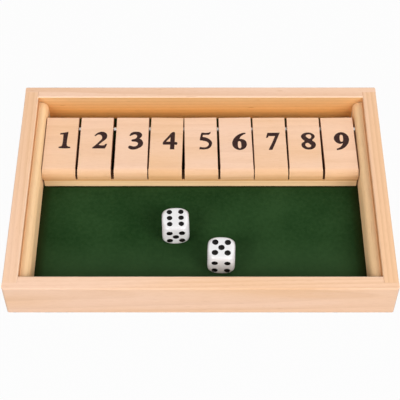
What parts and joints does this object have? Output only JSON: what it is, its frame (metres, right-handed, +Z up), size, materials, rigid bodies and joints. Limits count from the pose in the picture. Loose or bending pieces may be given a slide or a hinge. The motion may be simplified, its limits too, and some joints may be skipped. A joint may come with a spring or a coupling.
{
  "type": "shut the box game",
  "caption": "Flip-tile number game: an open wooden tray with a felt floor, numbered tiles hinged on a steel rod and loose dice.",
  "frame": {"origin": "on the table, under the middle of the case", "axes": "+X across the case to the player's right, +Y from the player to the back, +Z up"},
  "size_m": [0.22, 0.15, 0.025],
  "materials": {
    "frame_wood": "satin clear lacquer",
    "inner_wood": "satin clear lacquer",
    "tile_wood": "satin clear lacquer",
    "green_felt": "napped felt",
    "rod_steel": "drawn steel",
    "white_plastic": "gloss"
  },
  "bodies": {
    "case": {"front_rail": "frame_wood", "back_rail": "frame_wood", "left_rail": "frame_wood", "right_rail": "frame_wood", "base_board": "inner_wood", "felt_lining": "green_felt", "left_cheek": "inner_wood", "right_cheek": "inner_wood", "rest_bar": "inner_wood", "pivot_rod": "rod_steel"},
    "tile_1": {"tile_1": "tile_wood"},
    "tile_2": {"tile_2": "tile_wood"},
    "tile_3": {"tile_3": "tile_wood"},
    "tile_4": {"tile_4": "tile_wood"},
    "tile_5": {"tile_5": "tile_wood"},
    "tile_6": {"tile_6": "tile_wood"},
    "tile_7": {"tile_7": "tile_wood"},
    "tile_8": {"tile_8": "tile_wood"},
    "tile_9": {"tile_9": "tile_wood"},
    "die_left": {"die_left": "white_plastic"},
    "die_right": {"die_right": "white_plastic"}
  },
  "joints": [
    {"name": "tile_1_flip", "type": "hinge", "parent": "case", "child": "tile_1", "pos_m": [-0.08568, 0.0485, 0.015], "axis": [-1, 0, 0], "range_deg": [0, 141]},
    {"name": "tile_2_flip", "type": "hinge", "parent": "case", "child": "tile_2", "pos_m": [-0.06417, 0.0485, 0.015], "axis": [-1, 0, 0], "range_deg": [0, 141]},
    {"name": "tile_3_flip", "type": "hinge", "parent": "case", "child": "tile_3", "pos_m": [-0.04209, 0.0485, 0.015], "axis": [-1, 0, 0], "range_deg": [0, 141]},
    {"name": "tile_4_flip", "type": "hinge", "parent": "case", "child": "tile_4", "pos_m": [-0.02076, 0.0485, 0.015], "axis": [-1, 0, 0], "range_deg": [0, 141]},
    {"name": "tile_5_flip", "type": "hinge", "parent": "case", "child": "tile_5", "pos_m": [0, 0.0485, 0.015], "axis": [-1, 0, 0], "range_deg": [0, 141]},
    {"name": "tile_6_flip", "type": "hinge", "parent": "case", "child": "tile_6", "pos_m": [0.02133, 0.0485, 0.015], "axis": [-1, 0, 0], "range_deg": [0, 141]},
    {"name": "tile_7_flip", "type": "hinge", "parent": "case", "child": "tile_7", "pos_m": [0.04238, 0.0485, 0.015], "axis": [-1, 0, 0], "range_deg": [0, 141]},
    {"name": "tile_8_flip", "type": "hinge", "parent": "case", "child": "tile_8", "pos_m": [0.06366, 0.0485, 0.015], "axis": [-1, 0, 0], "range_deg": [0, 141]},
    {"name": "tile_9_flip", "type": "hinge", "parent": "case", "child": "tile_9", "pos_m": [0.08476, 0.0485, 0.015], "axis": [-1, 0, 0], "range_deg": [0, 141]},
    {"name": "die_left_lift", "type": "slide", "parent": "case", "child": "die_left", "axis": [0, 0, 1], "range_m": [0, 0.05]},
    {"name": "die_right_lift", "type": "slide", "parent": "case", "child": "die_right", "axis": [0, 0, 1], "range_m": [0, 0.05]}
  ]
}
